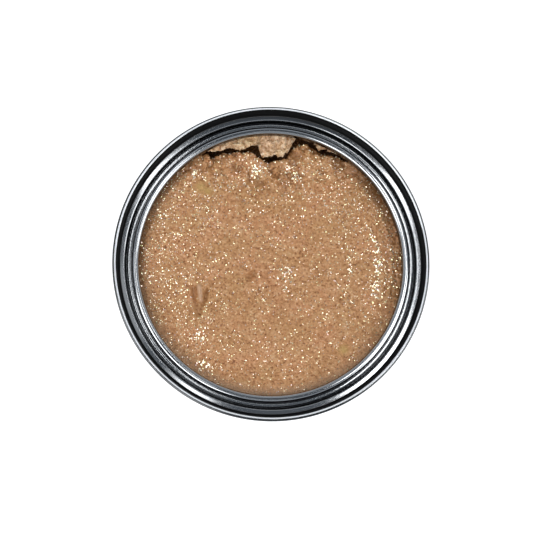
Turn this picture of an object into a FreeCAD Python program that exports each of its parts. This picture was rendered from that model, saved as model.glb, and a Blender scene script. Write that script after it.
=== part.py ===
"""Open lever-lid shoe polish tin: a seamed three-piece tin with its fill of wax polish.

The frame is in millimetres, with +Z up along the tin's axis and the origin at the middle of its foot.
A rolled body is closed at the foot by a base end and at the mouth by a friction ring. A double seam
joins each of them to the body: the end's cover hook and the body's hook hold each other inside five
layers of plate. Every pressed piece is drawn as one skin of its sheet, folded corner by corner. The
skin is given the plate's thickness and turned about the axis.
"""

import FreeCAD
import Part
import Sketcher
import os

Vector = FreeCAD.Vector

# Driving sizes, in millimetres and degrees. Drops are measured down from the rim.
SIZES = {
    "seam_radius": 43.65,  # outside of both double seams
    "tin_height": 44.5,  # foot to rim
    "end_plate": 0.24,  # plate of the friction ring and the base end
    "body_plate": 0.20,  # plate of the rolled body
    "seam_height": 3.0,  # length of a double seam
    "seam_play": 0.02,  # gap between two layers of a seam
    "seam_room": 0.15,  # room for sealing compound over a body hook
    "hook_gap": 0.5,  # from the raw edge of a hook to the fold that it points at
    "chuck_taper": 0.32,  # how far a chuck wall leans in
    "lap_width": 1.0,  # welded lap of the side seam
    "lap_rise": 0.1,  # how far the lap stands proud
    "lap_azimuth": 209.0,  # where the side seam is, from +X
    "shelf_drop": 3.2,  # rim to the shelf at the foot of the ring's chuck wall
    "shelf_width": 1.63,
    "groove_depth": 2.0,  # shelf to the bottom of the lid's groove
    "groove_width": 1.65,
    "lip_rise": 0.2,  # shelf to the crest of the throat's lip
    "lip_width": 2.05,
    "lip_height": 2.4,  # crest to the raw edge of the throat
    "base_rise": 3.6,  # foot to the inside of the base panel
    "bead_radius": 31.0,  # stiffening step of the base panel
    "bead_rise": 0.6,
    "fill_play": 0.03,  # gap between the polish and the tin
    "headspace": 2.5,  # underside of the ring to the polish at the axis
    "polish_lean": 0.8,  # fall of the surface towards the worked north side
    "gouge_azimuth": 203.0,  # fingertip gouge, from +X
    "gouge_radius": 21.4,  # axis to the middle of the gouge
    "gouge_heading": 98.0,  # direction of the gouge
    "gouge_length": 7.0,
    "gouge_width": 3.0,
    "gouge_depth": 0.9,
    "crust_azimuth": 128.0,  # west end of the crust of old polish, from +X
    "crust_crack": 2.5,  # angle between two crumbs of it
    "west_span": 19.0,  # angle that a crumb takes at the wall
    "west_reach": 9.0,  # how far a crumb stands in from the wall
    "west_gap": 1.0,  # underside of the ring to the top of a crumb
    "middle_span": 28.0,
    "middle_reach": 11.5,
    "middle_gap": 0.5,
    "east_span": 25.0,
    "east_reach": 9.0,
    "east_gap": 1.2,
}

# Broken outlines of the crumbs, from west to east: each corner as shares of the reach and the span.
CRUMBS = {
    "west": ((0.55, 0.5), (0.8, 0.3), (0.75, 0.05), (1.0, -0.2), (0.6, -0.5)),
    "middle": ((0.6, 0.5), (0.9, 0.35), (0.8, 0.15), (1.0, -0.05), (0.95, -0.25), (0.65, -0.5)),
    "east": ((0.7, 0.5), (1.0, 0.2), (0.75, 0.0), (0.85, -0.25), (0.5, -0.5)),
}
BEHIND_WALL = -0.5  # share of the reach at which a crumb's blank ends, before it is trimmed

# Skins of the sheets in a double seam, from the outside in, and the places of its folds.
SEAMING_WALL = "(Sizes.seam_radius - Sizes.end_plate)"
BODY_HOOK = f"({SEAMING_WALL} - Sizes.seam_play - Sizes.body_plate)"
COVER_HOOK = f"({BODY_HOOK} - Sizes.seam_play)"
WALL_OUTSIDE = f"({COVER_HOOK} - Sizes.end_plate - Sizes.seam_play)"
WALL_INSIDE = f"({WALL_OUTSIDE} - Sizes.body_plate)"
CHUCK_WALL = f"({WALL_INSIDE} - Sizes.seam_play)"
CHUCK_INNER_END = f"({CHUCK_WALL} - Sizes.chuck_taper)"
COVER_FOLD = "(Sizes.seam_height - Sizes.end_plate)"
BODY_FOLD = "(Sizes.end_plate + Sizes.seam_room + Sizes.body_plate)"

# Drops of the friction ring, from the rim to the hidden skin of each of its levels.
SHELF = "(Sizes.shelf_drop + Sizes.end_plate)"
GROOVE = f"({SHELF} + Sizes.groove_depth)"
CREST = f"({SHELF} - Sizes.lip_rise)"
LIP_EDGE = "(Sizes.shelf_drop - Sizes.lip_rise + Sizes.lip_height)"

# Where the polish lies.
BASE_MIDDLE = "(Sizes.base_rise + Sizes.bead_rise)"
UNDER_RING = f"(Sizes.tin_height - max({GROOVE}; {LIP_EDGE}))"
POLISH_LEVEL = f"({UNDER_RING} - Sizes.headspace)"
POLISH_RADIUS = f"({WALL_INSIDE} - Sizes.fill_play)"
POLISH_FALL = "(Sizes.seam_radius * tan(Sizes.polish_lean))"

doc = FreeCAD.newDocument("polish_tin")
sheet = doc.addObject("Spreadsheet::Sheet", "Sizes")


def fill_sheet():
    """Writes each driving size to the sheet under its alias."""
    for row, (alias, size) in enumerate(SIZES.items(), start=1):
        sheet.set(f"A{row}", alias)
        sheet.set(f"B{row}", str(size))
        sheet.setAlias(f"B{row}", alias)
    doc.recompute()


def from_rim(drop):
    return f"Sizes.tin_height - {drop}"


def from_foot(rise):
    return rise


def draw(sketch, corners, closed):
    """Straight lines from corner to corner, each corner held by expressions for both of its places."""
    points = [Vector(*[sketch.evalExpression(place) for place in corner], 0) for corner in corners]
    ends = points[1:] + points[:1] if closed else points[1:]
    lines = [sketch.addGeometry(Part.LineSegment(*pair), False) for pair in zip(points, ends)]
    rules = []
    for line, following in zip(lines, lines[1:] + lines[:1] if closed else lines[1:]):
        rules.append(Sketcher.Constraint("Coincident", line, 2, following, 1))
    first_place = len(rules)
    starts = [(line, 1) for line in lines] + [(lines[-1], 2)]
    for point, start in zip(points, starts):
        rules.append(Sketcher.Constraint("DistanceX", -1, 1, *start, point.x))
        rules.append(Sketcher.Constraint("DistanceY", -1, 1, *start, point.y))
    sketch.addConstraint(rules)
    for number, corner in enumerate(corners):
        for axis, place in enumerate(corner):
            index = first_place + 2 * number + axis
            name = f"{'out' if axis == 0 else 'up'}_{number}"
            sketch.renameConstraint(index, name)
            sketch.setExpression(f"Constraints.{name}", place)


def turned_sheet(name, skin, plate):
    """A pressed sheet: a skin of corners (distance from the axis, height), thickened and turned.

    plate is the thickness, positive to the left of the skin and negative to its right.
    """
    line = doc.addObject("Sketcher::SketchObject", f"{name}_skin")
    line.Placement = FreeCAD.Placement(Vector(), FreeCAD.Rotation(Vector(1, 0, 0), 90))
    draw(line, skin, closed=False)
    section = doc.addObject("Part::Offset2D", f"{name}_section")
    section.Source = line
    section.setExpression("Value", plate)
    section.Mode = "Skin"
    section.Join = "Intersection"
    section.Fill = True
    turned = doc.addObject("Part::Revolution", f"{name}_turned")
    turned.Source = section
    turned.Axis = Vector(0, 0, 1)
    turned.Angle = 360
    turned.Solid = True
    return turned


def seam_skin(height):
    """Skin of an end's hook and seaming panel, from the raw edge to the top of the chuck wall.

    height turns a distance from the seam's outer end into a height, for the rim or for the foot.
    """
    return [
        (COVER_HOOK, height(f"({BODY_FOLD} + Sizes.hook_gap)")),
        (COVER_HOOK, height(COVER_FOLD)),
        (SEAMING_WALL, height(COVER_FOLD)),
        (SEAMING_WALL, height("Sizes.end_plate")),
        (CHUCK_WALL, height("Sizes.end_plate")),
    ]


def make_body():
    """The rolled body: a wall hooked outwards at both ends, with the welded lap of its side seam."""
    raw_edge = f"({COVER_FOLD} - Sizes.hook_gap)"
    wall = turned_sheet(
        "wall",
        [
            (BODY_HOOK, from_rim(raw_edge)),
            (BODY_HOOK, from_rim(BODY_FOLD)),
            (WALL_OUTSIDE, from_rim(BODY_FOLD)),
            (WALL_OUTSIDE, from_foot(BODY_FOLD)),
            (BODY_HOOK, from_foot(BODY_FOLD)),
            (BODY_HOOK, from_foot(raw_edge)),
        ],
        "-Sizes.body_plate",
    )
    lap_outside = doc.addObject("Part::Cylinder", "lap_outside")
    lap_outside.setExpression("Radius", f"{WALL_OUTSIDE} + Sizes.lap_rise")
    lap_outside.setExpression("Angle", f"Sizes.lap_width / {WALL_OUTSIDE} * 180 / pi")
    lap_inside = doc.addObject("Part::Cylinder", "lap_inside")
    lap_inside.setExpression("Radius", f"{WALL_OUTSIDE} - Sizes.body_plate / 2")
    lap = doc.addObject("Part::Cut", "lap")
    lap.Base = lap_outside
    lap.Tool = lap_inside
    for cylinder in (lap_outside, lap_inside):
        cylinder.setExpression("Height", "Sizes.tin_height - 2 * (Sizes.seam_height + Sizes.seam_play)")
        cylinder.setExpression("Placement.Base.z", "Sizes.seam_height + Sizes.seam_play")
    lap_outside.setExpression("Placement.Rotation.Angle", "Sizes.lap_azimuth")
    body = doc.addObject("Part::MultiFuse", "body_with_lap")
    body.Shapes = [wall, lap]
    return body


def make_ring():
    """The friction ring: its seam, a chuck wall, a shelf, the lid's groove and the lip of the throat."""
    groove_outside = f"({CHUCK_INNER_END} - Sizes.shelf_width)"
    groove_inside = f"({groove_outside} - Sizes.groove_width - 2 * Sizes.end_plate)"
    throat = f"({groove_inside} - Sizes.lip_width + 2 * Sizes.end_plate)"
    skin = seam_skin(from_rim) + [
        (CHUCK_INNER_END, from_rim(SHELF)),
        (groove_outside, from_rim(SHELF)),
        (groove_outside, from_rim(GROOVE)),
        (groove_inside, from_rim(GROOVE)),
        (groove_inside, from_rim(CREST)),
        (throat, from_rim(CREST)),
        (throat, from_rim(LIP_EDGE)),
    ]
    return turned_sheet("ring", skin, "-Sizes.end_plate")


def make_base():
    """The base end: its seam, a chuck wall, and a panel with one stiffening step."""
    skin = seam_skin(from_foot) + [
        (CHUCK_INNER_END, "Sizes.base_rise"),
        ("Sizes.bead_radius", "Sizes.base_rise"),
        ("Sizes.bead_radius", BASE_MIDDLE),
        ("0", BASE_MIDDLE),
    ]
    return turned_sheet("base", skin, "Sizes.end_plate")


def origin_part(body, role):
    return next(feature for feature in body.Origin.OriginFeatures if feature.Role == role)


def sketch_on(body, role, name):
    """An empty sketch on one of a body's own origin planes."""
    sketch = body.newObject("Sketcher::SketchObject", name)
    sketch.AttachmentSupport = [(origin_part(body, role), "")]
    sketch.MapMode = "FlatFace"
    return sketch


def cast_fill():
    """The polish as it was poured on the base, with its surface worn lower towards the north."""
    fill = doc.addObject("PartDesign::Body", "fill")
    half_section = sketch_on(fill, "XZ_Plane", "fill_section")
    top = f"({POLISH_LEVEL} + {POLISH_FALL})"
    step = "(Sizes.bead_radius + Sizes.fill_play)"
    draw(
        half_section,
        [
            ("0", f"{BASE_MIDDLE} + Sizes.fill_play"),
            (step, f"{BASE_MIDDLE} + Sizes.fill_play"),
            (step, "Sizes.base_rise + Sizes.fill_play"),
            (POLISH_RADIUS, "Sizes.base_rise + Sizes.fill_play"),
            (POLISH_RADIUS, top),
            ("0", top),
        ],
        closed=True,
    )
    poured = fill.newObject("PartDesign::Revolution", "poured_fill")
    poured.Profile = half_section
    poured.ReferenceAxis = (origin_part(fill, "Z_Axis"), [""])
    poured.Angle = 360

    lean_section = sketch_on(fill, "YZ_Plane", "lean_section")
    draw(
        lean_section,
        [
            ("-Sizes.seam_radius", f"{POLISH_LEVEL} + {POLISH_FALL}"),
            ("Sizes.seam_radius", f"{POLISH_LEVEL} - {POLISH_FALL}"),
            ("Sizes.seam_radius", f"{POLISH_LEVEL} + 2 * {POLISH_FALL}"),
            ("-Sizes.seam_radius", f"{POLISH_LEVEL} + 2 * {POLISH_FALL}"),
        ],
        closed=True,
    )
    worn = fill.newObject("PartDesign::Pocket", "worn_surface")
    worn.Profile = lean_section
    worn.Type = "ThroughAll"
    worn.Midplane = True
    return fill


def make_polish():
    """The fill of wax polish, with a gouge that a fingertip dug deeper towards its far end."""
    out = "Sizes.gouge_radius * cos(Sizes.gouge_azimuth)"
    up = "Sizes.gouge_radius * sin(Sizes.gouge_azimuth)"
    surface = f"({POLISH_LEVEL} - {up} * tan(Sizes.polish_lean))"
    fingertip = "((Sizes.gouge_width ^ 2 / 4 + Sizes.gouge_depth ^ 2) / (2 * Sizes.gouge_depth))"
    half_length = "Sizes.gouge_length / 2"
    finger = doc.addObject("Part::Cylinder", "finger")
    finger.setExpression("Radius", fingertip)
    finger.setExpression("Height", "Sizes.gouge_length")
    finger.setExpression("Placement.Rotation.Angle", "90 deg + atan(Sizes.gouge_depth / Sizes.gouge_length)")
    finger.setExpression("Placement.Rotation.Axis.x", "-sin(Sizes.gouge_heading)")
    finger.setExpression("Placement.Rotation.Axis.y", "cos(Sizes.gouge_heading)")
    finger.setExpression("Placement.Rotation.Axis.z", "0")
    finger.setExpression("Placement.Base.x", f"{out} - {half_length} * cos(Sizes.gouge_heading)")
    finger.setExpression("Placement.Base.y", f"{up} - {half_length} * sin(Sizes.gouge_heading)")
    finger.setExpression("Placement.Base.z", f"{surface} + {fingertip}")
    polish = doc.addObject("Part::Cut", "gouged_polish")
    polish.Base = cast_fill()
    polish.Tool = finger
    return polish


def make_crumbs(polish):
    """Crumbs of old polish, broken off under the lip and seated on the fill and against the wall."""
    limit = doc.addObject("Part::Cylinder", "crumb_limit")
    limit.setExpression("Radius", POLISH_RADIUS)
    limit.setExpression("Height", "Sizes.tin_height")
    crumbs = {}
    starts_at = "Sizes.crust_azimuth"
    for name, outline in CRUMBS.items():
        span = f"Sizes.{name}_span"
        block = doc.addObject("PartDesign::Body", f"{name}_block")
        block.setExpression("Placement.Rotation.Angle", f"{starts_at} - {span} / 2")
        starts_at = f"{starts_at} - {span} - Sizes.crust_crack"

        plan = sketch_on(block, "XY_Plane", f"{name}_outline")
        floor = f"({POLISH_LEVEL} - 2 * {POLISH_FALL})"
        plan.setExpression("AttachmentOffset.Base.z", floor)
        corners = []
        for inwards, across in ((BEHIND_WALL, -0.5), (BEHIND_WALL, 0.5)) + outline:
            radius = f"({POLISH_RADIUS} - {inwards} * Sizes.{name}_reach)"
            corners.append((f"{radius} * cos({across} * {span})", f"{radius} * sin({across} * {span})"))
        draw(plan, corners, closed=True)

        pad = block.newObject("PartDesign::Pad", f"{name}_pad")
        pad.Profile = plan
        pad.setExpression("Length", f"{UNDER_RING} - Sizes.{name}_gap - {floor}")
        trimmed = doc.addObject("Part::Common", f"{name}_trimmed")
        trimmed.Base = block
        trimmed.Tool = limit
        seated = doc.addObject("Part::Cut", f"{name}_seated")
        seated.Base = trimmed
        seated.Tool = polish
        crumbs[f"crumb_{name}"] = seated
    return crumbs


def main():
    fill_sheet()
    polish = make_polish()
    made = {
        "tin_body": make_body(),
        "base_end": make_base(),
        "friction_ring": make_ring(),
        "polish": polish,
        **make_crumbs(polish),
    }
    doc.recompute()
    for label, piece in made.items():
        piece.Label = label
    for item in doc.Objects:
        if "Invalid" in item.State or "Error" in item.State:
            raise RuntimeError(f"{item.Label} failed: {item.State}")
    os.makedirs("parts", exist_ok=True)
    for label, piece in made.items():
        shape = piece.Shape
        if shape.isNull() or not shape.isValid():
            raise RuntimeError(f"{label} has no valid shape")
        shape.exportStep(f"parts/{label}.step")
        print(f"{label}: {shape.Volume:.1f} mm3 in {len(shape.Solids)} solid, {len(shape.Faces)} faces")


main()
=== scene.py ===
# %% [markdown]
# # An open tin of shoe polish
# The real object is a seamed tin with a push-in lid, shown with its lid off and its tan polish in use.
# The CAD model gives the places and the main sizes, so this lesson only dresses it: the pressed
# steel gets the rounded bends that a press leaves, and the wax gets the rough, glittering surface
# of a used polish.

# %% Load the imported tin
import math
import random

import bmesh
import bpy
from mathutils import Matrix, Quaternion, Vector, noise


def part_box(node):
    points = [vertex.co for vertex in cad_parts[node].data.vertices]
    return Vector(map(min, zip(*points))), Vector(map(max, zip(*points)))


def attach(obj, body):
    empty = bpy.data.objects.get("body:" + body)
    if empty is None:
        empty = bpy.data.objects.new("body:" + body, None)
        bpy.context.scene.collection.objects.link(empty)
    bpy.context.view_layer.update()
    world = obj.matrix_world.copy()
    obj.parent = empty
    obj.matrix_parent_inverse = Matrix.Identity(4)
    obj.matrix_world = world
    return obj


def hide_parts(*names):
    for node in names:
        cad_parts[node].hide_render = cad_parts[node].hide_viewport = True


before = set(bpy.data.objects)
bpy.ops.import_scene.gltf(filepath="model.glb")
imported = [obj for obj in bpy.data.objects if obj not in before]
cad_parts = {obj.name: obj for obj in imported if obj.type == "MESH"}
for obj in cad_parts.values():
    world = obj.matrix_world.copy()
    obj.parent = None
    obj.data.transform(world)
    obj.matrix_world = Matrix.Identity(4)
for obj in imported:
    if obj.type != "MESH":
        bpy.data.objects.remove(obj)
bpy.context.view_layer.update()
MM = 0.001

ring_low, ring_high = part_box("friction_ring")
fill_low, fill_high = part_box("polish")
seam_radius = ring_high.x
rim = ring_high.z
print(f"tin {2 * seam_radius / MM:.1f} mm across and {rim / MM:.1f} mm high, nodes {sorted(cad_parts)}")

# %% [markdown]
# ## The camera
# We look almost straight down into the tin, as a person does who is about to dip a cloth in it.
# The camera stands a forearm's length above the rim and leans a little to the south, so that the
# near wall hides a little more of the polish than the far one. Its turn is built from three axes,
# with north kept upwards, which keeps the picture level.

# %% Place the camera
CAMERA_HEIGHT = 260 * MM
CAMERA_LEAN = math.radians(8.8)
CAMERA_SIDE = Vector((-0.342, -0.94, 0)).normalized()
AIM_ASIDE = Vector((-1.28, -1.97, 0)) * MM
RIM_IN_VIEW = 0.2976  # the tin's radius as a share of the picture's width
mouth = Vector((0, 0, rim))
aim = mouth + AIM_ASIDE

camera = bpy.data.objects.new("camera", bpy.data.cameras.new("camera"))
bpy.context.collection.objects.link(camera)
lean = CAMERA_SIDE * math.sin(CAMERA_LEAN) + Vector((0, 0, math.cos(CAMERA_LEAN)))
camera.location = mouth + lean * CAMERA_HEIGHT
away = (camera.location - aim).normalized()
across = Vector((0, 1, 0)).cross(away).normalized()
camera.rotation_mode = "QUATERNION"
camera.rotation_quaternion = Matrix((across, away.cross(across), away)).transposed().to_quaternion()
camera.data.sensor_width = 36
camera.data.lens = camera.data.sensor_width * RIM_IN_VIEW * CAMERA_HEIGHT / seam_radius
camera.data.clip_start = 10 * MM
camera.data.clip_end = 20
bpy.context.scene.camera = camera
print(f"lens {camera.data.lens:.1f} mm")

# %% [markdown]
# ## Nodes without clicking
# A procedural finish is a graph of nodes. One small helper adds a node, sets its plain inputs and
# links the others, so that each finish below reads as a list of its layers.

# %% A helper for shader nodes
def add(tree, kind, inputs=None, **settings):
    """Adds a node. An input that is another node's output is linked, and any other value is set."""
    made = tree.nodes.new(kind)
    for setting, value in settings.items():
        setattr(made, setting, value)
    for socket, value in (inputs or {}).items():
        if isinstance(value, bpy.types.NodeSocket):
            tree.links.new(value, made.inputs[socket])
        else:
            made.inputs[socket].default_value = value
    return made


def new_finish(name, **shader_values):
    """A material with its principled shader. Its constants are set on the shader's own sockets."""
    finish = bpy.data.materials.new(name)
    finish.use_nodes = True
    shader = finish.node_tree.nodes["Principled BSDF"]
    for socket, value in shader_values.items():
        shader.inputs[socket.replace("_", " ")].default_value = value
    return finish, finish.node_tree, shader


def ramp(tree, factor, *stops):
    """A colour ramp from (place, grey or colour) stops."""
    made = add(tree, "ShaderNodeValToRGB", {"Fac": factor})
    elements = made.color_ramp.elements
    while len(elements) < len(stops):
        elements.new(0.5)
    for element, (place, colour) in zip(elements, stops):
        element.position = place
        element.color = (colour, colour, colour, 1) if isinstance(colour, (int, float)) else (*colour, 1)
    return made.outputs["Color"]


def fade(tree, value, start, end):
    """Goes evenly from one (place, result) pair to another."""
    made = add(tree, "ShaderNodeMapRange", {"Value": value, "From Min": start[0], "To Min": start[1],
                                            "From Max": end[0], "To Max": end[1]})
    return made.outputs["Result"]


# %% [markdown]
# ## The table and the sky over it
# The tin stands on a plain white table. Polished steel shows whatever surrounds it, so the sky
# matters more than the lamps: it is dim straight overhead, where the viewer leans over the tin,
# bright in a broad band around that, dark below the band, and pale again at the horizon. The band
# gives the thin white lines along every bend, and the dark parts give the black between them. A
# white backdrop close to the horizon is only there for the eye and for what the plate mirrors. It
# adds no light of its own to the wax or the table.

# %% Lay the white table
def seen_by_eye(tree):
    """1 where a place is seen directly, or in or through something polished, and 0 for its light."""
    rays = add(tree, "ShaderNodeLightPath")
    glossy, through = rays.outputs["Is Glossy Ray"], rays.outputs["Is Transmission Ray"]
    polished = add(tree, "ShaderNodeMath", {0: glossy, 1: through}, operation="MAXIMUM")
    return add(tree, "ShaderNodeMath", {0: rays.outputs["Is Camera Ray"], 1: polished.outputs[0]},
               operation="MAXIMUM").outputs[0]


TABLE_RADIUS = 1.5
TABLE_DROP = 0.05 * MM
TABLE_WHITE = 0.86
TABLE_LIFT = 0.6  # how much the table glows, for the eye alone
mesh = bpy.data.meshes.new("table")
shape = bmesh.new()
bmesh.ops.create_circle(shape, cap_ends=True, segments=128, radius=TABLE_RADIUS)
shape.to_mesh(mesh)
shape.free()
table = bpy.data.objects.new("table", mesh)
bpy.context.collection.objects.link(table)
table.location.z = -TABLE_DROP

finish, tree, shader = new_finish("table_white", Roughness=0.9)
shader.inputs["Base Color"].default_value = (TABLE_WHITE, TABLE_WHITE, TABLE_WHITE, 1)
lift = add(tree, "ShaderNodeMath", {0: seen_by_eye(tree), 1: TABLE_LIFT}, operation="MULTIPLY")
shader.inputs["Emission Color"].default_value = (1, 1, 1, 1)
tree.links.new(lift.outputs[0], shader.inputs["Emission Strength"])
table.data.materials.append(finish)
print("table laid at z", round(table.location.z / MM, 2), "mm")

# %% Hang the sky
world = bpy.data.worlds.new("studio_sky")
bpy.context.scene.world = world
world.use_nodes = True
tree = world.node_tree
background = tree.nodes["Background"]
direction = add(tree, "ShaderNodeTexCoord").outputs["Generated"]
height = add(tree, "ShaderNodeSeparateXYZ", {"Vector": direction}).outputs["Z"]
sky = ramp(
    tree, height,
    (0.0, (0.60, 0.60, 0.60)),
    (0.10, (0.50, 0.50, 0.50)),
    (0.18, (0.05, 0.052, 0.056)),
    (0.42, (0.05, 0.052, 0.056)),
    (0.50, (0.44, 0.47, 0.51)),
    (0.88, (0.44, 0.47, 0.51)),
    (0.92, (0.03, 0.032, 0.035)),
    (0.945, (0.03, 0.032, 0.035)),
    (0.965, (0.125, 0.14, 0.16)),
    (1.0, (0.125, 0.14, 0.16)),
)
low_sky = ramp(tree, height, (0.24, 1.0), (0.30, 0.0))
backdrop = add(tree, "ShaderNodeMath", {0: seen_by_eye(tree), 1: low_sky}, operation="MULTIPLY")
behind = add(tree, "ShaderNodeMixRGB", {"Fac": backdrop.outputs[0], "Color1": sky, "Color2": (1, 1, 1, 1)})
tree.links.new(behind.outputs[0], background.inputs["Color"])

# %% [markdown]
# ## The lamps
# Two wide soft boxes, like windows in the east and the south-west, light the tin. Narrow strips
# nearer the zenith do little for the wax, but each one draws a bright arc on the bends of the plate:
# seen from above, a bend mirrors a lamp where its slope is half the lamp's angle from the zenith.

# %% Light it with soft boxes
LAMP_DISTANCE = 1.2


def soft_box(name, azimuth, from_zenith, width, depth, glow, turn=0):
    """A soft box that faces the tin. Its angles, width and depth are in degrees, as seen from the tin."""
    lamp = bpy.data.objects.new(name, bpy.data.lights.new(name, "AREA"))
    bpy.context.collection.objects.link(lamp)
    lamp.data.shape = "RECTANGLE"
    lamp.data.size = 2 * LAMP_DISTANCE * math.tan(math.radians(width / 2))
    lamp.data.size_y = 2 * LAMP_DISTANCE * math.tan(math.radians(depth / 2))
    lamp.data.energy = glow * math.pi * lamp.data.size * lamp.data.size_y
    around, lean = math.radians(azimuth), math.radians(from_zenith)
    out = Vector((math.cos(around) * math.sin(lean), math.sin(around) * math.sin(lean), math.cos(lean)))
    lamp.location = mouth + out * LAMP_DISTANCE
    lamp.rotation_mode = "QUATERNION"
    lamp.rotation_quaternion = out.to_track_quat("Z", "Y") @ Quaternion((0, 0, 1), math.radians(turn))
    return lamp


soft_box("east_strip", 32, 12.2, 16, 5, 6, -32)
east_window = soft_box("east_window", -16, 44, 33, 30, 3)
west_window = soft_box("west_window", 218, 41, 44, 26, 4)
soft_box("west_strip", 172, 17.5, 14, 7, 3)
soft_box("north_west_spot", 108, 13.3, 4, 6, 4)
soft_box("west_haze", 140, 9.0, 8, 5, 0.35)
soft_box("south_strip", 272, 17, 12, 4, 1)
soft_box("overhead_spot", 205, 3.2, 3.0, 2.6, 3)
bpy.context.scene.view_settings.view_transform = "Standard"

# %% [markdown]
# ## Tinplate
# Tinplate is thin steel with a bright skin of tin. It reflects like a slightly blurred mirror, and
# the rolls and the press leave fine lines in it that run round the turned parts. A noise stretched
# along the turn gives the lines, a second noise gives the handling haze, and a few sharp specks of
# a third stand for nicks. Stretching needs round coordinates, so the position is turned into a
# direction round the axis and a distance along the profile, which has no seam where the turn closes.
# The finish also paints light and shade into the pressed plate of the ring and the base end: a
# near-black painted dark reflection in the corner under the seam, painted shade on steep walls, a
# pale painted highlight along the seam's top, and a darker painted reflection on its outer shoulder.
# The finish stops being metallic in the painted dark corner and on the painted highlight.

# %% Mix the tinplate finishes
# where each painted mark starts and is full, measured inwards from the seam's outside
PAINTED_DARK_STARTS = 2.05 * MM
PAINTED_DARK_IS_FULL = 1.85 * MM
HIGHLIGHT_STARTS = 1.03 * MM
HIGHLIGHT_IS_FULL = 0.91 * MM
HIGHLIGHT_FADES = 0.62 * MM
HIGHLIGHT_ENDS = 0.46 * MM
WALL_STARTS = 0.06 * MM
WALL_IS_FULL = 0.01 * MM
WALL_TONE = 0.85
HIGHLIGHT_ASIDE = (0.03 * MM, 0.10 * MM, 0.0)  # the painted highlight runs a little off the centre
HIGHLIGHT_TONE_STARTS = 1.1  # a tone scaled by more than this turns into the painted highlight
HIGHLIGHT_TONE_FULL = 1.8
PAINTED_DARK_ROUGHNESS = 0.6


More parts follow.
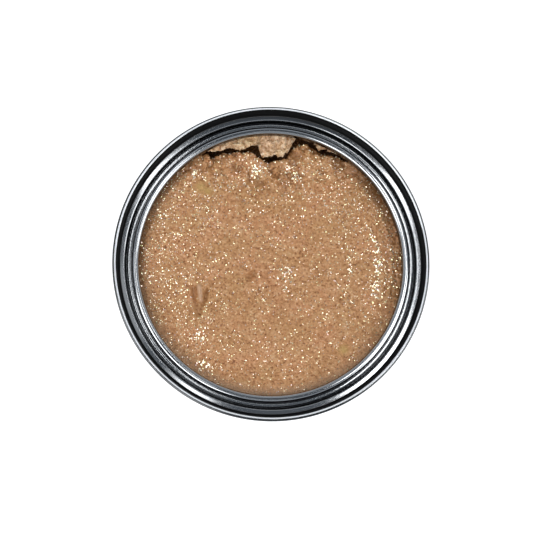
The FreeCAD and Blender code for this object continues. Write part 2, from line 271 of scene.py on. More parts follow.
def tinplate(name, tone, roughness, streak_height, steep_tone, corner_tone, seam_tone, outer_tone):
    """Bright tinplate with lines that run round the axis. The last four tones scale the first, to paint
    shade, dark reflections and a highlight into it.
    """
    finish, tree, shader = new_finish(name, Specular_IOR_Level=0.1)
    place = add(tree, "ShaderNodeTexCoord").outputs["Object"]
    parts = add(tree, "ShaderNodeSeparateXYZ", {"Vector": place})
    flat = add(tree, "ShaderNodeCombineXYZ", {"X": parts.outputs["X"], "Y": parts.outputs["Y"]})
    distance = add(tree, "ShaderNodeVectorMath", {0: flat.outputs[0]}, operation="LENGTH").outputs["Value"]
    around = add(tree, "ShaderNodeVectorMath", {0: flat.outputs[0]}, operation="NORMALIZE").outputs[0]
    profile = add(tree, "ShaderNodeMath", {0: distance, 1: parts.outputs["Z"]}, operation="SUBTRACT")
    rise = add(tree, "ShaderNodeCombineXYZ", {"Z": profile.outputs[0]})
    wide = add(tree, "ShaderNodeVectorMath", {0: around, "Scale": 5.0}, operation="SCALE")
    fine = add(tree, "ShaderNodeVectorMath", {0: rise.outputs[0], "Scale": 1500.0}, operation="SCALE")
    turned_place = add(tree, "ShaderNodeVectorMath", {0: wide.outputs[0], 1: fine.outputs[0]})
    streaks = add(tree, "ShaderNodeTexNoise",
                  {"Vector": turned_place.outputs[0], "Scale": 4.0, "Detail": 6.0, "Roughness": 0.75})
    haze = add(tree, "ShaderNodeTexNoise", {"Vector": place, "Scale": 160.0, "Detail": 5.0})
    nicks = add(tree, "ShaderNodeTexNoise", {"Vector": place, "Scale": 1400.0, "Detail": 2.0})
    nick_depth = ramp(tree, nicks.outputs["Fac"], (0.70, 0.0), (0.76, 1.0))

    wear = add(tree, "ShaderNodeMath", {0: streaks.outputs["Fac"], 1: haze.outputs["Fac"]},
               operation="MULTIPLY")
    dull = [channel * 0.92 for channel in tone]
    colour = ramp(tree, wear.outputs[0], (0.10, dull), (0.36, tone))
    normal = add(tree, "ShaderNodeNewGeometry").outputs["Normal"]
    facing = add(tree, "ShaderNodeSeparateXYZ", {"Vector": normal})
    level_share = add(tree, "ShaderNodeMath", {0: facing.outputs["Z"]}, operation="ABSOLUTE")
    # painted shade: steep walls are darkened to steep_tone, and flat faces may rise to seam_tone
    steep = ramp(tree, level_share.outputs[0], (0.30, steep_tone), (0.75, 1.0), (0.86, seam_tone))
    # painted dark reflection: near black in the corner under the seam
    corner = fade(tree, distance, (seam_radius - PAINTED_DARK_STARTS, 1.0), (seam_radius - PAINTED_DARK_IS_FULL, corner_tone))
    aside = add(tree, "ShaderNodeVectorMath", {0: flat.outputs[0], 1: HIGHLIGHT_ASIDE}, operation="SUBTRACT")
    reach = add(tree, "ShaderNodeVectorMath", {0: aside.outputs[0]}, operation="LENGTH").outputs["Value"]
    # painted highlight: a pale line along the seam's top
    seam = fade(tree, reach, (seam_radius - HIGHLIGHT_STARTS, 0.0), (seam_radius - HIGHLIGHT_IS_FULL, seam_tone))
    open_part = add(tree, "ShaderNodeMath", {0: corner, 1: seam}, operation="MAXIMUM")
    painted_tone_scale = add(tree, "ShaderNodeMath", {0: steep, 1: open_part.outputs[0]}, operation="MINIMUM")
    # painted dark reflection on the seam's outer shoulder
    outer_shade = fade(tree, reach, (seam_radius - HIGHLIGHT_FADES, seam_tone), (seam_radius - HIGHLIGHT_ENDS, outer_tone))
    painted_tone_scale = add(tree, "ShaderNodeMath", {0: painted_tone_scale.outputs[0], 1: outer_shade}, operation="MINIMUM")
    outside = fade(tree, distance, (seam_radius - WALL_STARTS, 0.0), (seam_radius - WALL_IS_FULL, WALL_TONE))
    painted_tone_scale = add(tree, "ShaderNodeMath", {0: painted_tone_scale.outputs[0], 1: outside}, operation="MAXIMUM")
    painted_colour = add(tree, "ShaderNodeVectorMath", {0: colour, "Scale": painted_tone_scale.outputs[0]}, operation="SCALE")
    tree.links.new(painted_colour.outputs[0], shader.inputs["Base Color"])
    blur = ramp(tree, wear.outputs[0], (0.10, roughness * 1.5), (0.32, roughness))
    # the painted dark corner is dull
    dark_corner_roughness = fade(tree, open_part.outputs[0], (corner_tone, PAINTED_DARK_ROUGHNESS), (0.7, 0.0))
    rough = add(tree, "ShaderNodeMath", {0: blur, 1: dark_corner_roughness}, operation="MAXIMUM")
    tree.links.new(rough.outputs[0], shader.inputs["Roughness"])
    # the painted dark corner is not metallic
    metal_share = fade(tree, open_part.outputs[0], (corner_tone, 0.0), (0.7, 1.0))
    # the painted highlight is not metallic
    unhighlighted = fade(tree, painted_tone_scale.outputs[0], (HIGHLIGHT_TONE_STARTS, 1.0), (HIGHLIGHT_TONE_FULL, 0.0))
    metal_share = add(tree, "ShaderNodeMath", {0: metal_share, 1: unhighlighted}, operation="MINIMUM")
    tree.links.new(metal_share.outputs[0], shader.inputs["Metallic"])
    nick_bump = add(tree, "ShaderNodeBump",
                    {"Height": nick_depth, "Strength": 0.25, "Distance": 0.01 * MM}, invert=True)
    bump = add(tree, "ShaderNodeBump",
               {"Height": streaks.outputs["Fac"], "Strength": 1.0, "Distance": streak_height,
                "Normal": nick_bump.outputs[0]})
    tree.links.new(bump.outputs[0], shader.inputs["Normal"])
    return finish


# the ends get painted shade, painted dark reflections and a painted highlight; the body's tones of 1 paint
# nothing
end_plate_finish = tinplate("end_tinplate_bright", (0.50, 0.515, 0.53), roughness=0.07,
                            streak_height=0.0012 * MM, steep_tone=0.12, corner_tone=0.008,
                            seam_tone=1.9, outer_tone=0.22)
body_plate_finish = tinplate("body_tinplate_bright", (0.70, 0.71, 0.725), roughness=0.36,
                             streak_height=0.002 * MM, steep_tone=1.0, corner_tone=1.0,
                             seam_tone=1.0, outer_tone=1.0)
# the rolled sheet of the body mirrors more broadly across its grain than along it
shader = body_plate_finish.node_tree.nodes["Principled BSDF"]
shader.inputs["Anisotropic"].default_value = 0.9
shader.inputs["Anisotropic Rotation"].default_value = 0.25
tangent = add(body_plate_finish.node_tree, "ShaderNodeTangent", direction_type="RADIAL", axis="Z")
body_plate_finish.node_tree.links.new(tangent.outputs[0], shader.inputs["Tangent"])
print("tinplate mixed:", end_plate_finish.name, body_plate_finish.name)

# %% [markdown]
# ## Pressed plate
# The friction ring and the base end are blanks of thin plate, pressed between dies and then seamed
# to the body. A press never makes a sharp bend, so their section here is a middle line with a
# rounded bend at each corner, given the plate's thickness on both sides and spun round the axis.
# Spinning a section is how a turned shape is made in one step, and it gives a closed skin.

# %% Helpers that bend and spin a plate
def round_bends(corners, steps=7):
    """A line through corners (distance, height, bend radius), with an arc in place of each bend."""
    line = [Vector(corners[0][:2])]
    for before, (x, z, bend), after in zip(corners, corners[1:], corners[2:]):
        corner = Vector((x, z))
        back = (Vector(before[:2]) - corner).normalized()
        on = (Vector(after[:2]) - corner).normalized()
        half = back.angle(on) / 2
        reach = bend / math.tan(half)
        centre = corner + (back + on).normalized() * (bend / math.sin(half))
        start, end = corner + back * reach - centre, corner + on * reach - centre
        sweep = start.angle_signed(end)
        for step in range(steps + 1):
            turn = -sweep * step / steps
            spoke = Vector((start.x * math.cos(turn) - start.y * math.sin(turn),
                            start.x * math.sin(turn) + start.y * math.cos(turn)))
            line.append(centre + spoke)
    line.append(Vector(corners[-1][:2]))
    return hold_flats(line)


def hold_flats(line, margin=0.03 * MM):
    """Adds a point close to each end of a long run, so that smooth shading keeps the run flat."""
    held = [line[0]]
    for start, end in zip(line, line[1:]):
        run = end - start
        if run.length > 5 * margin:
            held += [start + run.normalized() * margin, end - run.normalized() * margin]
        held.append(end)
    return held


def plate_section(line, plate):
    """The outline of a plate that follows a line: down one skin and back along the other."""
    one, other = [], []
    for index, point in enumerate(line):
        before, after = line[max(index - 1, 0)], line[min(index + 1, len(line) - 1)]
        run = (after - before).normalized()
        aside = Vector((-run.y, run.x)) * plate / 2
        one.append(point + aside)
        other.append(point - aside)
    return one + other[::-1]


def spin(name, section, finish, closed=True, steps=288):
    """Turns a section about the tin's axis and returns the piece."""
    shape = bmesh.new()
    points = [shape.verts.new((x, 0, z)) for x, z in section]
    pairs = zip(points, points[1:] + points[:1] if closed else points[1:])
    edges = [shape.edges.new(pair) for pair in pairs]
    bmesh.ops.spin(shape, geom=points + edges, cent=(0, 0, 0), axis=(0, 0, 1), angle=math.tau,
                   steps=steps, use_merge=True)
    bmesh.ops.remove_doubles(shape, verts=shape.verts, dist=0.0005 * MM)
    bmesh.ops.recalc_face_normals(shape, faces=shape.faces)
    mesh = bpy.data.meshes.new(name)
    shape.to_mesh(mesh)
    shape.free()
    mesh.shade_smooth()
    mesh.set_sharp_from_angle(angle=math.radians(40))
    mesh.materials.append(finish)
    piece = bpy.data.objects.new(name, mesh)
    bpy.context.collection.objects.link(piece)
    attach(piece, "root")
    print(f"{name}: {len(mesh.vertices)} points")
    return piece


# %% [markdown]
# ## The friction ring
# The ring carries the lid. Its outer edge is hooked into the seam, then a chuck wall drops to a narrow
# shelf, a round groove takes the lid's rim, and a rolled lip guards the throat. Each size below is
# the distance of a bend's middle line from the axis or from the rim.

# %% Press the friction ring
PLATE = 0.24 * MM
half = PLATE / 2
SEAM_HEIGHT = 3.0 * MM
SEAM_WIDTH = 1.2 * MM
HOOK_INSET = 0.6 * MM
HOOK_EDGE_DROP = 1.09 * MM
SHOULDER_DROP = 0.23 * MM
CHUCK_TAPER = 0.32 * MM
SHELF_DROP = 3.2 * MM
SHELF_WIDTH = 1.56 * MM
GROOVE_DEPTH = 2.0 * MM
GROOVE_WIDTH = 1.85 * MM
GROOVE_SLANT = 0.50 * MM
LIP_RISE = 0.2 * MM
LIP_WIDTH = 2.05 * MM
LIP_CLEAR = 0.04 * MM

seam_wall = seam_radius - half
chuck_top = seam_radius - SEAM_WIDTH + half
chuck_foot = chuck_top - CHUCK_TAPER
groove_outside = chuck_foot - SHELF_WIDTH
groove_inside = groove_outside - GROOVE_WIDTH - PLATE
throat = groove_inside - LIP_WIDTH + PLATE
shelf = rim - SHELF_DROP - half
groove = shelf - GROOVE_DEPTH
crest = shelf + LIP_RISE
lip_edge = ring_low.z + LIP_CLEAR

ring_line = round_bends([
    (seam_radius - HOOK_INSET, rim - HOOK_EDGE_DROP, 0),
    (seam_radius - HOOK_INSET, rim - SEAM_HEIGHT + half, 0.23 * MM),
    (seam_wall, rim - SEAM_HEIGHT + half, 0.23 * MM),
    (seam_wall, rim - half, 0.40 * MM),
    (seam_radius - 0.62 * MM, rim - half, 0.10 * MM),
    (chuck_top, rim - half - SHOULDER_DROP, 0.22 * MM),
    (chuck_foot, shelf, 0.5 * MM),
    (groove_outside, shelf, 0.22 * MM),
    (groove_outside - GROOVE_SLANT, groove, 0.95 * MM),
    (groove_inside, groove, 0.68 * MM),
    (groove_inside, crest, 0.8 * MM),
    (throat, crest, 0.8 * MM),
    (throat, lip_edge, 0),
], steps=10)
ring = spin("pressed_ring", plate_section(ring_line, PLATE), end_plate_finish)
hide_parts("friction_ring")

# %% [markdown]
# ## The base end
# The base end is seamed on in the same way, upside down. Its panel stands a little above the foot,
# with one shallow step that stiffens it, and can be seen when the tin is turned over.

# %% Press the base end
BASE_RISE = 3.6 * MM
BEAD_RADIUS = 31.0 * MM
BEAD_RISE = 0.6 * MM
panel = BASE_RISE - half
base_line = round_bends([
    (seam_radius - HOOK_INSET, HOOK_EDGE_DROP, 0),
    (seam_radius - HOOK_INSET, SEAM_HEIGHT - half, 0.23 * MM),
    (seam_wall, SEAM_HEIGHT - half, 0.23 * MM),
    (seam_wall, half, 0.46 * MM),
    (chuck_top, half, 0.46 * MM),
    (chuck_foot, panel, 0.6 * MM),
    (BEAD_RADIUS + 0.5 * MM, panel, 0.4 * MM),
    (BEAD_RADIUS - 0.5 * MM, panel + BEAD_RISE, 0.4 * MM),
    (0, panel + BEAD_RISE, 0),
])
section = plate_section(base_line, PLATE)
turn_point = len(base_line)
open_section = section[turn_point:] + section[:turn_point]
base = spin("pressed_base", open_section, end_plate_finish, closed=False)
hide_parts("base_end")

# %% [markdown]
# ## The body
# The body is a strip of tinplate, rolled up and welded along a narrow lap. The CAD mesh already has
# its lap and both of its hooks, and its wall is plain, so it only gets a finish.

# %% Give the body its finish
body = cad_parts["tin_body"]
for slot in body.material_slots:
    slot.material = body_plate_finish
print("body finished,", len(body.data.polygons), "faces")

# %% [markdown]
# ## The polish
# The fill is a hard wax paste that dried a little and was worked with a cloth. It lies a little
# lower on the worked north side, a fingertip left a gouge in the west, a cloth left shallow arcs in
# the east, and along the north wall it broke away and left a deep crack. All of that is one height
# field: every point of a fine disc is moved up or down by a sum of simple shapes and noise.
# A disc of rings with six more points each has evenly sized triangles and a perfectly round edge.

# %% Describe the worked surface
LEAN = math.tan(math.radians(0.8))
fill_radius = fill_high.x
level = fill_high.z - fill_radius * LEAN
print(f"polish {level / MM:.2f} mm up at the axis")


def polar(x, y):
    """Distance from the axis in millimetres and azimuth in degrees."""
    return math.hypot(x, y) / MM, math.degrees(math.atan2(y, x))


def step_up(value, low, high):
    """0 below low, 1 above high, and an even S curve between."""
    share = min(max((value - low) / (high - low), 0), 1)
    return share * share * (3 - 2 * share)


def hump(value, middle, width):
    """A bell of height 1."""
    return math.exp(-((value - middle) / width) ** 2)


def along(table, value):
    """Reads a table of (place, size) pairs in rising order, with straight lines between them."""
    if value <= table[0][0]:
        return table[0][1]
    for (low, start), (high, end) in zip(table, table[1:]):
        if value <= high:
            return start + (end - start) * (value - low) / (high - low)
    return table[-1][1]


def stroke(x, y, start, end, width):
    """A soft band along a line from start to end, 1 in its middle. All in millimetres."""
    run_x, run_y = end[0] - start[0], end[1] - start[1]
    share = ((x - start[0]) * run_x + (y - start[1]) * run_y) / (run_x ** 2 + run_y ** 2)
    share = min(max(share, 0), 1)
    return hump(math.hypot(x - start[0] - share * run_x, y - start[1] - share * run_y), 0, width)


# azimuth and distance of the crack's edge
CRACK_EDGE = [(46, 43.5), (52, 37.6), (60, 36.6), (65, 35.7), (70, 36.2), (73, 36.9), (77, 35.8),
              (80, 33.6), (82, 31.1), (87, 30.1), (93, 29.8), (99, 32.9), (106, 34.0), (113, 34.7),
              (120, 35.3), (127, 43.5)]
CRACK_DEPTH = 9.0
# start, end, half width and depth of each stroke; a negative depth stands up
TONGUE = ((-20.1, -6.4), (-19.6, -10.2))
GOUGE = [((-21.8, -6.6), (-21.3, -10.2), 0.60, 1.0), ((-17.8, -7.2), (-18.2, -9.4), 0.42, 0.9),
         ((-18.2, -9.4), (-19.3, -11.4), 0.62, 1.0), ((-20.9, -11.0), (-20.2, -13.8), 0.95, 0.8),
         (*TONGUE, 0.80, -0.6), ((-24.6, -9.6), (-22.9, -7.5), 0.22, 0.4),
         ((-4.8, -2.4), (-6.0, -3.4), 0.85, 0.9)]


def crack(x, y):
    """How far the surface falls into the crack along the north wall, in millimetres."""
    distance, azimuth = polar(x, y)
    if not CRACK_EDGE[0][0] < azimuth < CRACK_EDGE[-1][0]:
        return 0
    ragged = 0.45 * noise.noise(Vector((x, y, 3 * MM)) / (1.1 * MM))
    ragged += 0.25 * noise.noise(Vector((x, y, 8 * MM)) / (0.5 * MM))
    edge = along(CRACK_EDGE, azimuth) + ragged
    return CRACK_DEPTH * step_up(distance, edge, edge + 0.8)


def gouges(x, y):
    """Depth of the marks that tools and fingers left, in millimetres."""
    x, y = x / MM, y / MM
    if not (-26 < x < -1 and -16 < y < 1):
        return 0
    depths = [depth * stroke(x, y, start, end, width) for start, end, width, depth in GOUGE]
    return max(depths) + min(depths)


def worked(x, y):
    """The share of the rough, broken north side in a place: 0 on the smooth side and 1 in the north."""
    return step_up(y / MM - 0.25 * abs(x / MM), 12, 26)


def knobs(x, y):
    """How far a place is from the creases of the broken wax: 0 in a crease and 1 on a knob."""
    place = Vector((x, y, 0)) / MM
    shift = Vector((noise.noise(place / 1.3), noise.noise(place / 1.3 + Vector((5, 5, 5))), 0))
    nearest, next_nearest = noise.voronoi((place + 0.9 * shift) / 3.0)[0][:2]
    rough = worked(x, y) * step_up(noise.noise(place / 4.5 + Vector((3, 1, 8))), -0.35, 0.15)
    return 1 - rough * (1 - step_up(next_nearest - nearest, 0.0, 0.45))


def wrinkles(x, y):
    """Small wrinkles where the cloth pushed the wax up against the east wall, between -1 and 1."""
    distance, azimuth = polar(x, y)
    where = step_up(distance, 33.6, 35.4) * hump(azimuth, 4, 20)
    return where * noise.noise(Vector((x, y, 0)) / (0.75 * MM)) if where > 0.01 else 0


# height, width and shift of each scale of unevenness
UNEVENNESS = [(0.13, 2.6, (0, 0, 0)), (0.11, 1.2, (7, 3, 1)), (0.10, 0.55, (1, 9, 4)), (0.35, 9, (4, 4, 4))]
KNOB_HEIGHT = 0.9


def surface(x, y):
    """Height of the polish at a place, in metres."""
    distance, azimuth = polar(x, y)
    place = Vector((x, y, 0)) / MM
    height = sum(size * noise.noise(place / width + Vector(shift)) for size, width, shift in UNEVENNESS)
    height += KNOB_HEIGHT * knobs(x, y) - KNOB_HEIGHT + 0.5 * worked(x, y) * noise.noise(place / 4.0)
    # a cloth's arcs in the east
    swing = hump(azimuth, 2, 24)
    height += swing * (0.30 * hump(distance, 30.4, 0.6) - 0.30 * hump(distance, 29.2, 0.8))
    height += swing * (0.24 * hump(distance, 34.6, 0.45) - 0.28 * hump(distance, 33.5, 0.6))
    height += 0.7 * wrinkles(x, y)
    # the wax climbs the wall a little, and more in the south and the west
    height += 0.8 * step_up(distance, 31, 37) * hump(abs(azimuth), 176, 38)
    height += 0.5 * step_up(distance, 38, 42.7) + 1.25 * step_up(distance, 29, 38) * hump(azimuth, -95, 60)
    return level - y * LEAN + (height - gouges(x, y) - crack(x, y)) * MM


# %% Shape the polish
def ring_disc(radius, spacing):
    """Points and triangles of a disc whose rings have six more points each."""
    rings = round(radius / spacing)
    points = [(0.0, 0.0)]
    for ring in range(1, rings + 1):
        for step in range(6 * ring):
            turn = math.tau * step / (6 * ring)
            points.append((math.cos(turn) * radius * ring / rings, math.sin(turn) * radius * ring / rings))
    faces = []
    for ring in range(rings):
        inner_count, outer_count = max(6 * ring, 1), 6 * (ring + 1)
        inner_start = 1 + 3 * ring * (ring - 1) if ring else 0
        outer_start = 1 + 3 * ring * (ring + 1)
        for sector in range(6):
            for step in range(ring + 1):
                a = outer_start + (sector * (ring + 1) + step) % outer_count
                b = outer_start + (sector * (ring + 1) + step + 1) % outer_count
                c = inner_start + (sector * ring + step) % inner_count
                faces.append((a, b, c))
                if step < ring:
                    d = inner_start + (sector * ring + step + 1) % inner_count
                    faces.append((c, b, d))
    return points, faces, 6 * rings


SURFACE_SPACING = 0.25 * MM
flat_points, faces, edge_count = ring_disc(fill_radius, SURFACE_SPACING)
points = [(x, y, surface(x, y)) for x, y in flat_points]
print(f"polish surface of {len(points)} points")

# %% Close the polish down to the base
GAP = 0.03 * MM
STEP = BEAD_RADIUS + GAP
edge_start = len(points) - edge_count
last = list(range(edge_start, len(points)))
for distance, height in ((fill_radius, fill_low.z), (STEP, fill_low.z), (STEP, fill_low.z + BEAD_RISE)):
    new = []
    for index in range(edge_count):
        turn = math.tau * index / edge_count
        new.append(len(points))
        points.append((math.cos(turn) * distance, math.sin(turn) * distance, height))
    for index in range(edge_count):
        following = (index + 1) % edge_count
        faces.append((last[index], new[index], new[following], last[following]))
    last = new
faces.append(tuple(reversed(last)))

mesh = bpy.data.meshes.new("worked_polish")
mesh.from_pydata(points, [], faces)
mesh.validate()
mesh.shade_smooth()

# %% Mark the wax's painted shade, its clear spots and its painted light
# east, north and size of each clear spot
AMBER_SPOTS = [(-19.9, 22.2, 1.4), (-17.8, 21.0, 1.0), (20.4, -24.0, 1.4)]


def painted_shade(x, y):
    """How much painted shade darkens the wax: 1 deep in a crack or gouge, in creases and troughs, and an
    olive painted shadow of the lip along the wall.
    """
    distance, azimuth = polar(x, y)
    # painted shadow of the lip along the wall in the north-east, north-west and west, and a little darker
    # towards the east
    darkening = step_up(distance, 33.2, 36.2) * hump(azimuth, 34, 16)
    darkening = max(darkening, step_up(distance, 34.6, 36.4) * hump(azimuth, 146, 20))
    darkening = max(darkening, 0.9 * step_up(distance, 35.3, 36.3) * hump(abs(azimuth), 172, 24))
    darkening = max(darkening, 0.07 * step_up(x / MM, 8, 26))
    # painted shade round the crack's edge
    if CRACK_EDGE[0][0] < azimuth < CRACK_EDGE[-1][0]:
        edge = along(CRACK_EDGE, azimuth)
        darkening = max(darkening, 0.55 * step_up(distance, edge - 1.8, edge))
    # painted shade in the wrinkles' troughs and a painted shadow along the east wall
    wrinkle = step_up(-wrinkles(x, y), 0, 0.4) + 0.25 * step_up(distance, 34, 36) * hump(azimuth, 4, 24)
    # painted shade in the creases of the broken wax
    crease = 0.62 * step_up(1 - knobs(x, y), 0.35, 1.0)
    # painted shade in the gouges and the crack
    return min(1, 0.55 * max(gouges(x, y), 0) + 0.35 * crack(x, y) + 0.85 * darkening + 0.5 * wrinkle + crease)


def amber(x, y):
    """How clear and yellow the wax is."""
    return sum(hump(math.hypot(x / MM - east, y / MM - north), 0, size) for east, north, size in AMBER_SPOTS)


def painted_light(x, y):
    """How much painted light lifts the wax: on the tongue that a tool left standing, and along the wall
    against the lip's shade.
    """
    distance, azimuth = polar(x, y)
    # painted light on the raised tongue
    tongue = step_up(stroke(x / MM, y / MM, *TONGUE, 0.75), 0.35, 0.65)
    # painted light against the lip's shade along the south wall
    south = 0.75 * step_up(distance, 33.5, 36.8) * hump(azimuth, -92, 52)
    return max(tongue, south)


for name, share in (("painted_shade", painted_shade), ("amber", amber), ("painted_light", painted_light)):
    marks = mesh.attributes.new(name, "FLOAT", "POINT").data
    for index, (x, y) in enumerate(flat_points):
        marks[index].value = share(x, y)
polish = bpy.data.objects.new("worked_polish", mesh)
bpy.context.collection.objects.link(polish)
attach(polish, "root")
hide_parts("polish")
print(f"polish mesh of {len(mesh.polygons)} faces")

# %% [markdown]
# ## The wax finish
# Wax paste is tan from its dye, mottled because it dried unevenly, and light goes a little way into
# it. Three noises of falling size mix its tones: broad patches, grains of about a millimetre, and
# specks of half that, whose dark and bluish pale ends are partly painted shade in tiny pits and
# painted glints on tiny bumps. The marks on the mesh then add painted shade, clear amber spots and
# painted light. A little light scattered under the surface keeps it from looking like sand, and a
# fine bump carries the grain below the size of the mesh.

# %% Mix the wax finishes
def wax(name, dark, tone, light, shade_colour, gloss):
    """Grainy wax paste: three tones by grain, patches over them, light and dark specks that are partly
    painted shade and glints, painted shade, amber spots and painted light.
    """
    finish, tree, shader = new_finish(name, Subsurface_Weight=0.08, Subsurface_Scale=0.5 * MM)
    shader.inputs["Subsurface Radius"].default_value = (1.0, 0.55, 0.3)
    place = add(tree, "ShaderNodeTexCoord").outputs["Object"]
    patches = add(tree, "ShaderNodeTexNoise", {"Vector": place, "Scale": 130.0, "Detail": 5.0})
    grains = add(tree, "ShaderNodeTexNoise",
                 {"Vector": place, "Scale": 800.0, "Detail": 4.0, "Roughness": 0.7})
    specks = add(tree, "ShaderNodeTexNoise",
                 {"Vector": place, "Scale": 1600.0, "Detail": 3.0, "Roughness": 0.6})
    base = ramp(tree, grains.outputs["Fac"], (0.34, dark), (0.50, tone), (0.68, light))
    broad = ramp(tree, patches.outputs["Fac"], (0.36, (0.96, 0.97, 0.92)), (0.50, (1.0, 1.0, 1.0)),
                 (0.64, (1.03, 0.98, 1.0)))
    toned = add(tree, "ShaderNodeMixRGB", {"Fac": 1.0, "Color1": base, "Color2": broad},
                blend_type="MULTIPLY")
    # dark and bluish pale specks: partly grain, partly painted shade in tiny pits and painted glints on tiny
    # bumps
    grain_and_shade_specks = ramp(tree, specks.outputs["Fac"], (0.33, (0.50, 0.36, 0.22)), (0.42, (0.97, 0.95, 0.93)),
                (0.58, (1.0, 1.0, 1.0)), (0.68, (1.30, 1.38, 1.5)))
    specked_colour = add(tree, "ShaderNodeMixRGB", {"Fac": 1.0, "Color1": toned.outputs[0], "Color2": grain_and_shade_specks},
                 blend_type="MULTIPLY")
    clear = add(tree, "ShaderNodeAttribute", attribute_name="amber").outputs["Fac"]
    yellow = add(tree, "ShaderNodeMixRGB", {"Fac": clear, "Color1": specked_colour.outputs[0],
                                            "Color2": (0.56, 0.34, 0.11, 1)})
    # painted shade mixes the wax towards shade_colour
    deep = add(tree, "ShaderNodeAttribute", attribute_name="painted_shade").outputs["Fac"]
    painted_wax_colour = add(tree, "ShaderNodeMixRGB", {"Fac": deep, "Color1": yellow.outputs[0], "Color2": (*shade_colour, 1)})
    # painted light lifts the wax to a paler tan
    lit_share = add(tree, "ShaderNodeAttribute", attribute_name="painted_light").outputs["Fac"]
    painted_wax_colour = add(tree, "ShaderNodeMixRGB", {"Fac": lit_share, "Color1": painted_wax_colour.outputs[0],
                                             "Color2": (0.66, 0.40, 0.235, 1)})
    tree.links.new(painted_wax_colour.outputs[0], shader.inputs["Base Color"])
    shine = ramp(tree, grains.outputs["Fac"], (0.35, gloss + 0.15), (0.65, gloss))
    tree.links.new(shine, shader.inputs["Roughness"])
    fine = add(tree, "ShaderNodeBump",
               {"Height": specks.outputs["Fac"], "Strength": 0.9, "Distance": 0.14 * MM})
    bump = add(tree, "ShaderNodeBump",
               {"Height": grains.outputs["Fac"], "Strength": 0.9, "Distance": 0.35 * MM,
                "Normal": fine.outputs[0]})
    tree.links.new(bump.outputs[0], shader.inputs["Normal"])
    return finish


tan_wax = wax("tan_wax", dark=(0.44, 0.20, 0.075), tone=(0.58, 0.285, 0.115), light=(0.66, 0.38, 0.19),
              shade_colour=(0.20, 0.080, 0.018), gloss=0.34)
dry_wax = wax("dry_wax", dark=(0.58, 0.34, 0.16), tone=(0.84, 0.58, 0.34), light=(0.97, 0.79, 0.55),
              shade_colour=(0.30, 0.13, 0.05), gloss=0.5)
polish.data.materials.append(tan_wax)
print("wax mixed:", tan_wax.name, dry_wax.name)

# %% [markdown]
# ## The crust
# Where the polish broke away from the wall, flakes of the old skin stayed stuck under the lip and
# now hang over the crack. Each one is a thin plate between the wall and a ragged inner edge. The
# edge comes from a few given corners, roughened with noise, and the plate is thickest at
# the wall.

# %% Break off the flakes
FLAKE_SPACING = 0.25
FLAKE_ROWS = 48
WALL_PLAY = 0.05
LIP_PLAY = 0.03


def flake(name, node, edge, top, thickness, slope, seed):
    """A flake between the wall and a ragged edge of (azimuth, distance) corners, in millimetres."""
    low, high = edge[0][0], edge[-1][0]
    wall = fill_radius / MM - WALL_PLAY
    columns = round((high - low) * math.radians(wall) / FLAKE_SPACING)
    rows = FLAKE_ROWS
    shift = Vector((seed, 2 * seed, 3 * seed))
    points, faces, shade_values = [], [], []
    for side in (1, 0):
        for column in range(columns + 1):
            azimuth = low + (high - low) * column / columns
            ragged = 0.40 * noise.noise(Vector((azimuth * 0.9, seed, 0)))
            ragged += 0.30 * noise.noise(Vector((azimuth * 2.6, seed, 5)))
            inner = along(edge, azimuth) + ragged
            for row in range(rows + 1):
                share = row / rows
                distance = wall + (inner - wall) * share
                turn = math.radians(azimuth)
                x, y = distance * math.cos(turn), distance * math.sin(turn)
                lump = 1.7 * noise.turbulence(Vector((x, y, 0)) / 2.4 + shift, 3, True) - 0.75
                lump += 0.10 * noise.noise(Vector((x, y, 0)) / 0.33 + shift)
                edge_fall = 0.35 * step_up(share, 0.88, 1.0)
                upper = top - slope * share + lump - edge_fall
                lower = top - slope * share - thickness * (1.15 - 0.65 * share) + 0.5 * (lump + edge_fall)
                z = upper if side else lower
                points.append((x * MM, y * MM, min(z, ring_low.z / MM - LIP_PLAY) * MM))
                # painted shade in the dips of the flake's top
                shade_values.append(0.55 * step_up(-lump, 0.0, 0.5) * step_up(share, 0.1, 0.3))
    size = (columns + 1) * (rows + 1)

    def index(side, column, row):
        return side * size + column * (rows + 1) + row

    for column in range(columns):
        for row in range(rows):
            quad = [(column, row), (column + 1, row), (column + 1, row + 1), (column, row + 1)]
            faces.append([index(0, *c) for c in quad])
            faces.append([index(1, *c) for c in reversed(quad)])
    border = [(c, 0) for c in range(columns)] + [(columns, r) for r in range(rows)]
    border += [(c, rows) for c in range(columns, 0, -1)] + [(0, r) for r in range(rows, 0, -1)]
    for here, there in zip(border, border[1:] + border[:1]):
        faces.append([index(0, *there), index(0, *here), index(1, *here), index(1, *there)])
    mesh = bpy.data.meshes.new(name)
    mesh.from_pydata(points, [], faces)
    mesh.validate()
    shape = bmesh.new()
    shape.from_mesh(mesh)
    bmesh.ops.recalc_face_normals(shape, faces=shape.faces)
    shape.to_mesh(mesh)
    shape.free()
    mesh.shade_smooth()
    mesh.attributes.new("painted_shade", "FLOAT", "POINT").data.foreach_set("value", shade_values)
    mesh.materials.append(dry_wax)
    piece = bpy.data.objects.new(name, mesh)
    bpy.context.collection.objects.link(piece)
    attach(piece, "root")
    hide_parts(node)
    print(f"{name}: {len(mesh.polygons)} faces")
    return piece


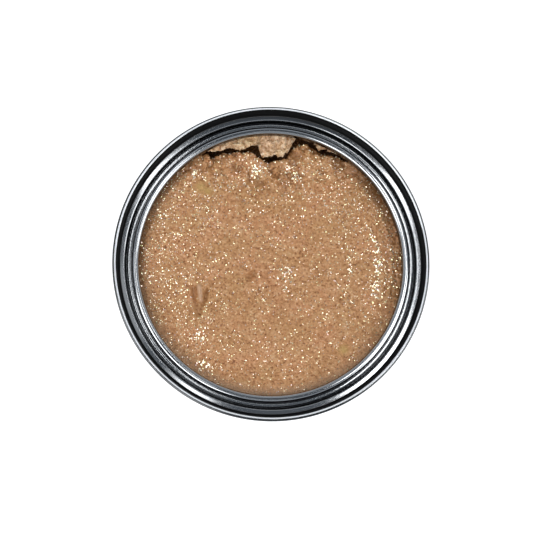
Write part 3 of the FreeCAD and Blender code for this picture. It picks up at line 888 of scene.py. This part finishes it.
flake("flake_west", "crumb_west",
      [(95.5, 37.0), (96.2, 34.6), (99.5, 34.6), (102.3, 34.0), (106.3, 34.2), (108, 35.2), (110.2, 35.6),
       (113.4, 35.5), (116, 36.0), (119, 36.8)], 38.2, 1.6, 0.3, 3)
flake("flake_middle", "crumb_middle",
      [(78.2, 38.0), (79.8, 35.8), (80.4, 34.2), (81.2, 32.9), (82.4, 32.4), (83.4, 31.4), (86.5, 31.0),
       (87.2, 31.6), (92.5, 30.8), (94.8, 30.9), (95.8, 32.8), (96.3, 36)], 38.3, 1.5, 0.3, 8)
flake("flake_east", "crumb_east",
      [(57.5, 38.2), (59.8, 37.2), (61.8, 37.1), (63.8, 36.7), (64.2, 37.5), (66, 36.6), (67.5, 35.9),
       (69, 36.6), (70.8, 37.6)], 37.6, 1.3, 0.2, 14)

# %% [markdown]
# ## Loose crumbs
# Digging broke off crumbs that lie about in front of the crack. Each is a ball whose points are moved
# in or out by turbulence, which gives knobs and clefts at once, and is then flattened a little.

# %% Drop loose crumbs
# east, north and size of each crumb
CRUMBS = [(-19.0, 29.0, 1.6), (-18.2, 30.6, 1.2), (-16.6, 31.6, 0.9), (-15.0, 32.2, 1.2), (-13.4, 32.3, 0.7),
          (8.2, 36.0, 0.8), (9.6, 35.8, 0.5), (1.6, 27.4, 1.2), (3.4, 25.4, 0.9), (-8.6, 29.6, 0.7),
          (-11.5, 31.2, 0.8), (12.6, 30.4, 0.6), (-23.4, 26.0, 0.8), (5.9, 22.8, 0.6), (-1.2, 24.0, 0.6)]


def crumb(shape, x, y, size, seed):
    """One knobbly crumb of broken wax that lies on the polish. Sizes are in millimetres."""
    lump = bmesh.ops.create_icosphere(shape, subdivisions=4, radius=1)["verts"]
    base = surface(x * MM, y * MM) / MM + 0.25 * size
    stretch = 0.8 + 0.4 * noise.random()
    for vert in lump:
        way = vert.co.normalized()
        reach = size * (0.75 + 0.9 * (noise.turbulence(way * 0.9 + Vector((seed, 0, 0)), 4, True) - 0.4))
        east, north = x + way.x * reach * stretch, y + way.y * reach / stretch
        vert.co = Vector((east, north, base + way.z * reach * 0.6)) * MM


noise.seed_set(7)
shape = bmesh.new()
for index, (x, y, size) in enumerate(CRUMBS):
    crumb(shape, x, y, size, 10 * index)
mesh = bpy.data.meshes.new("loose_crumbs")
shape.to_mesh(mesh)
shape.free()
mesh.shade_smooth()
mesh.materials.append(tan_wax)
crumbs = bpy.data.objects.new("loose_crumbs", mesh)
bpy.context.collection.objects.link(crumbs)
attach(crumbs, "root")
print(f"loose crumbs of {len(mesh.polygons)} faces")

# %% [markdown]
# ## The glitter
# Flakes of mica in the paste make it sparkle. Each flake is a tiny five-sided plate of its own,
# lying on the wax at its own tilt, so some catch a lamp and shine white while their neighbours
# stay dark, as real ones do. Thousands of them are cheap in one mesh. A cloth lays flakes over, so
# most lean one of two ways, and they lie thicker along its arcs and in a few clusters.

# %% Scatter the glitter
dice = random.Random(11)
GLITTER_COUNT = 6000
GLINT_CORNERS = 5
GLINT_FACES = GLINT_CORNERS + 2
GLINT_PLATE = 0.04 * MM
GLINT_LIFT = 0.08 * MM
# middle (east, north), spread and count of each glossy cluster
CLUSTERS = [(-3.8, 27.7, 1.3, 45), (-21.6, 26.3, 0.6, 16), (5.1, -2.6, 1.4, 42), (-19.4, -20.0, 1.0, 26),
            (-18.6, -28.0, 0.9, 18), (7.0, 25.5, 0.8, 22), (5.0, 27.8, 0.6, 12), (-31.3, 13.7, 0.9, 20)]
# distance, spread, largest flake and count of each arc in the east
ARCS = [(30.4, 0.55, 0.33, 110), (34.6, 0.6, 0.24, 90), (22.6, 0.3, 0.20, 45)]
points, faces = [], []


def add_glint(x, y, size, tilt):
    """One flake of mica: a thin five-sided plate on the wax."""
    first = len(points)
    facing = tilt.to_track_quat("Z", "Y")
    centre = Vector((x, y, surface(x, y) + GLINT_LIFT))
    start = dice.random()
    reaches = [size * dice.uniform(0.75, 1.1) for corner in range(GLINT_CORNERS)]
    for z in (GLINT_PLATE / 2, -GLINT_PLATE / 2):
        for corner, reach in enumerate(reaches):
            angle = math.tau * (corner + start) / GLINT_CORNERS
            points.append(centre + facing @ Vector((reach * math.cos(angle), reach * math.sin(angle), z)))
    under = first + GLINT_CORNERS
    faces.append([first + corner for corner in range(GLINT_CORNERS)])
    faces.append([under + corner for corner in reversed(range(GLINT_CORNERS))])
    for corner in range(GLINT_CORNERS):
        following = (corner + 1) % GLINT_CORNERS
        faces.append([first + following, first + corner, under + corner, under + following])


# a flake that leans halfway towards a window sends its light straight up
WIPED = [(lamp.location - mouth).normalized() + Vector((0, 0, 1)) for lamp in (east_window, west_window)]
WIPED_SPREAD = 0.12
LOOSE_SPREAD = 0.32
GLITTER_MARGIN = 2.0 * MM


def random_tilt(wiped_share):
    """A share of the flakes lean the ways that a cloth laid them, and the rest lie at random."""
    if dice.random() < wiped_share:
        way = dice.choice(WIPED).normalized()
        return way + Vector((dice.gauss(0, WIPED_SPREAD), dice.gauss(0, WIPED_SPREAD), 0))
    return Vector((dice.gauss(0, LOOSE_SPREAD), dice.gauss(0, LOOSE_SPREAD), 1))


made = 0
while made < GLITTER_COUNT:
    distance = math.sqrt(dice.random()) * (fill_radius - GLITTER_MARGIN)
    turn = dice.random() * math.tau
    x, y = distance * math.cos(turn), distance * math.sin(turn)
    share = 0.38 + 0.34 * step_up(distance / MM, 8, 32) + 0.55 * noise.noise(Vector((x, y, 0)) / (5 * MM))
    # fewer in the south, and more in the north and the west
    share *= 1 - 0.5 * step_up(-y / MM, 6, 24) + 0.3 * step_up(y / MM, 8, 24) + 0.4 * step_up(-x / MM, 8, 28)
    if crack(x, y) > 0.5 or abs(gouges(x, y)) > 0.15 or amber(x, y) > 0.3 or dice.random() > share:
        continue
    size = (0.08 + 0.13 * dice.random() ** 2) * MM
    add_glint(x, y, size, random_tilt(0.72 + 0.2 * step_up(distance / MM, 10, 30)))
    made += 1
for east, north, spread, count in CLUSTERS:
    for glint in range(count):
        x, y = (east + dice.gauss(0, spread)) * MM, (north + dice.gauss(0, spread)) * MM
        add_glint(x, y, dice.uniform(0.15, 0.30) * MM, random_tilt(0.75))
for distance, blur, size, count in ARCS:
    for glint in range(count):
        turn, reach = math.radians(dice.gauss(-1, 12)), (distance + dice.gauss(0, blur)) * MM
        add_glint(reach * math.cos(turn), reach * math.sin(turn), dice.uniform(0.4, 1.0) * size * MM,
                  random_tilt(0.75))

mesh = bpy.data.meshes.new("glitter")
mesh.from_pydata(points, [], faces)
glitter = bpy.data.objects.new("glitter", mesh)
bpy.context.collection.objects.link(glitter)
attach(glitter, "root")

finish, tree, shader = new_finish("mica_glitter", Metallic=0.65)
place = add(tree, "ShaderNodeTexCoord").outputs["Object"]
tints = add(tree, "ShaderNodeTexNoise", {"Vector": place, "Scale": 2500.0})
colour = ramp(tree, tints.outputs["Fac"], (0.36, (0.84, 0.88, 0.46)), (0.46, (0.94, 0.86, 0.60)),
              (0.56, (0.95, 0.84, 0.70)), (0.64, (0.98, 0.72, 0.68)))
tree.links.new(colour, shader.inputs["Base Color"])
blur = ramp(tree, tints.outputs["Fac"], (0.35, 0.18), (0.65, 0.28))
tree.links.new(blur, shader.inputs["Roughness"])
glitter.data.materials.append(finish)
print(f"{len(faces) // GLINT_FACES} flakes of glitter")
